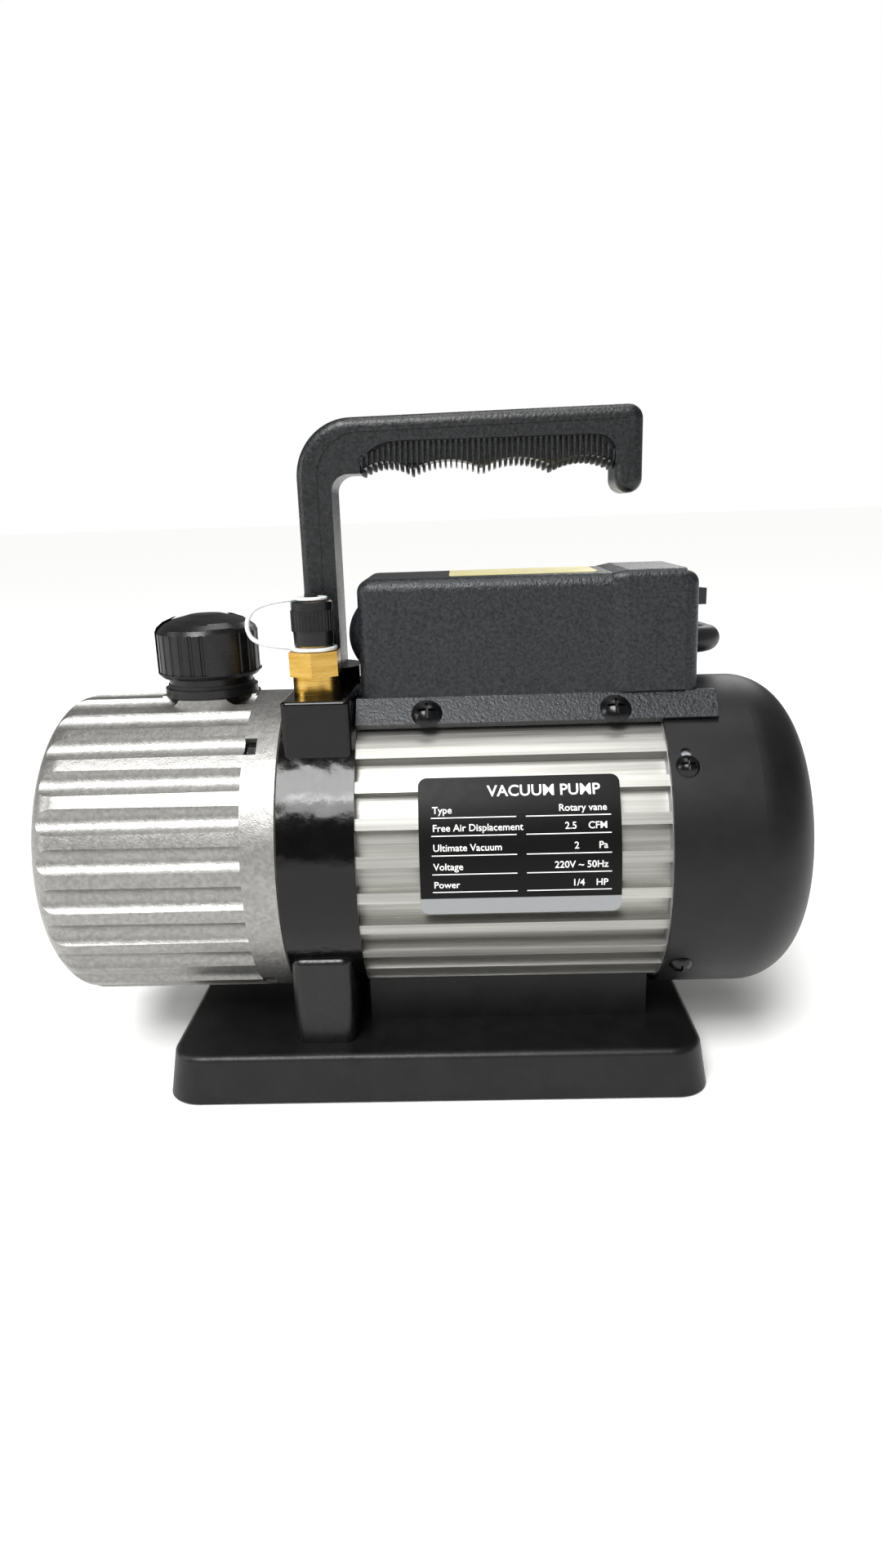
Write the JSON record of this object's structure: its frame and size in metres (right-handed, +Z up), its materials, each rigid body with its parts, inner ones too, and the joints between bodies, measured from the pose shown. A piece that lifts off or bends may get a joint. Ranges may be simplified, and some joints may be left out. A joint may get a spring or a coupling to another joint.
{
  "type": "rotary vane vacuum pump",
  "caption": "Portable rotary vane vacuum pump with a finned motor, fluted oil casing, carrying handle, flat base and mains lead.",
  "frame": {"origin": "middle of the base, on the floor", "axes": "+X along the shaft from the oil casing to the fan, +Y away from the nameplate side, +Z up"},
  "size_m": [0.2792, 0.2592, 0.2351],
  "materials": {
    "foot_rubber": "matt",
    "base_plastic": "matt black moulding, fine grain",
    "steel": "machined",
    "bearing_steel": "ground",
    "label_paper": "pale yellow paper",
    "foot_paint": "satin black paint",
    "tether_plastic": "white, flexible",
    "gasket_paper": "compressed fibre",
    "screw_black": "black oxide",
    "fan_plastic": "satin",
    "lead_rubber": "satin black sheath",
    "seal_rubber": "satin",
    "brass": "machined",
    "cover_paint": "matt black powder coat",
    "cap_plastic": "satin black moulding",
    "handle_plastic": "fine leather-like grain",
    "housing_aluminium": "extruded, fine lines along its length",
    "nameplate_foil": "printed foil, black with a silver foot",
    "casing_silver": "satin silver paint over a casting",
    "bracket_paint": "gloss black paint over a casting",
    "cast_iron": "ground faces",
    "cast_aluminium": "as cast",
    "switch_plastic": "gloss",
    "capacitor_case": "smooth",
    "sight_glass": "clear",
    "chrome_ring": "polished",
    "copper_wire": "varnished copper wire",
    "box_plastic": "coarse spark-eroded texture",
    "vane_resin": "smooth fibre resin"
  },
  "bodies": {
    "pump": {"base_feet": "foot_rubber", "base_plate": "base_plastic", "base_screws": "steel", "bearing_outer_rings": "bearing_steel", "box_label": "label_paper", "bracket_foot": "foot_paint", "cap_tether": "tether_plastic", "capacitor_clamp": "steel", "casing_gasket": "gasket_paper", "casing_screws": "screw_black", "cord_coil": "lead_rubber", "cord_plug": "lead_rubber", "cord_tie": "seal_rubber", "exhaust_valve_stop": "steel", "fan_cover": "cover_paint", "fan_cover_screws": "screw_black", "filler_neck": "cap_plastic", "handle": "handle_plastic", "handle_stud": "steel", "inlet_fitting": "brass", "motor_housing": "housing_aluminium", "motor_pedestal": "base_plastic", "nameplate": "nameplate_foil", "oil_baffle": "steel", "oil_casing": "casing_silver", "power_cord": "lead_rubber", "pump_bolts": "screw_black", "pump_bracket": "bracket_paint", "pump_front_plate": "cast_iron", "pump_rear_plate": "cast_iron", "pump_stator": "cast_iron", "rear_end_bell": "cast_aluminium", "run_capacitor": "capacitor_case", "shaft_seal": "seal_rubber", "sight_glass_lens": "sight_glass", "sight_glass_ring": "chrome_ring", "stator_core": "steel", "stator_windings": "copper_wire", "strain_relief": "lead_rubber", "switch_bezel": "switch_plastic", "terminal_box": "box_plastic", "terminal_box_screws": "screw_black", "tie_rods": "steel"},
    "rotor": {"pump_rotor": "steel", "motor_shaft": "steel", "shaft_coupling": "steel", "rotor_core": "cast_iron", "cooling_fan": "fan_plastic", "bearing_inner_rings": "bearing_steel", "vane_springs": "steel"},
    "vane_front": {"vane_a": "vane_resin"},
    "vane_back": {"vane_b": "vane_resin"},
    "reed": {"exhaust_reed": "steel"},
    "rocker": {"rocker_switch": "switch_plastic"},
    "inlet_seal": {"inlet_cap_seal": "seal_rubber"},
    "inlet_cap": {"inlet_cap": "cap_plastic"},
    "oil_seal": {"oil_cap_seal": "seal_rubber"},
    "oil_cap": {"oil_fill_cap": "cap_plastic"},
    "drain_seal": {"drain_washer": "seal_rubber"},
    "drain_plug": {"drain_plug": "brass"}
  },
  "joints": [
    {"name": "rotor_spin", "type": "hinge", "parent": "pump", "child": "rotor", "pos_m": [0, 0, 0.081], "axis": [1, 0, 0], "continuous": true},
    {"name": "vane_front_slide", "type": "slide", "parent": "rotor", "child": "vane_front", "axis": [0, -1, 0], "range_m": [0, 0.0024]},
    {"name": "vane_back_slide", "type": "slide", "parent": "rotor", "child": "vane_back", "axis": [0, 1, 0], "range_m": [0, 0.0024]},
    {"name": "exhaust_reed_lift", "type": "hinge", "parent": "pump", "child": "reed", "pos_m": [-0.0739, -0.0039, 0.10905], "axis": [1, 0, 0], "range_deg": [0, 8], "stiffness_Nm_per_rad": 0.01},
    {"name": "switch_rock", "type": "hinge", "parent": "pump", "child": "rocker", "pos_m": [0.0938, 0, 0.1692], "axis": [0, 0, 1], "range_deg": [-18, 0]},
    {"name": "inlet_cap_lift", "type": "slide", "parent": "pump", "child": "inlet_seal", "axis": [0, 0, 1], "range_m": [0, 0.01018], "deforming": ["cap_tether"]},
    {"name": "inlet_cap_unscrew", "type": "hinge", "parent": "inlet_seal", "child": "inlet_cap", "pos_m": [-0.0391, -0.019, 0.165], "axis": [0, 0, 1], "range_deg": [0, 2880]},
    {"name": "oil_cap_lift", "type": "slide", "parent": "pump", "child": "oil_seal", "axis": [0, 0, 1], "range_m": [0, 0.01002]},
    {"name": "oil_cap_unscrew", "type": "hinge", "parent": "oil_seal", "child": "oil_cap", "pos_m": [-0.0814, 0, 0.157], "axis": [0, 0, 1], "range_deg": [0, 1800]},
    {"name": "drain_plug_lift", "type": "slide", "parent": "pump", "child": "drain_seal", "axis": [-1, 0, 0], "range_m": [0, 0.00902]},
    {"name": "drain_plug_unscrew", "type": "hinge", "parent": "drain_seal", "child": "drain_plug", "pos_m": [-0.1385, 0, 0.049], "axis": [-1, 0, 0], "range_deg": [0, 2160]}
  ],
  "couplings": [
    {"joint": "inlet_cap_lift", "follows": "inlet_cap_unscrew", "m_per_rad": 0.00020213},
    {"joint": "oil_cap_lift", "follows": "oil_cap_unscrew", "m_per_rad": 0.00031831},
    {"joint": "drain_plug_lift", "follows": "drain_plug_unscrew", "m_per_rad": 0.00023873}
  ]
}
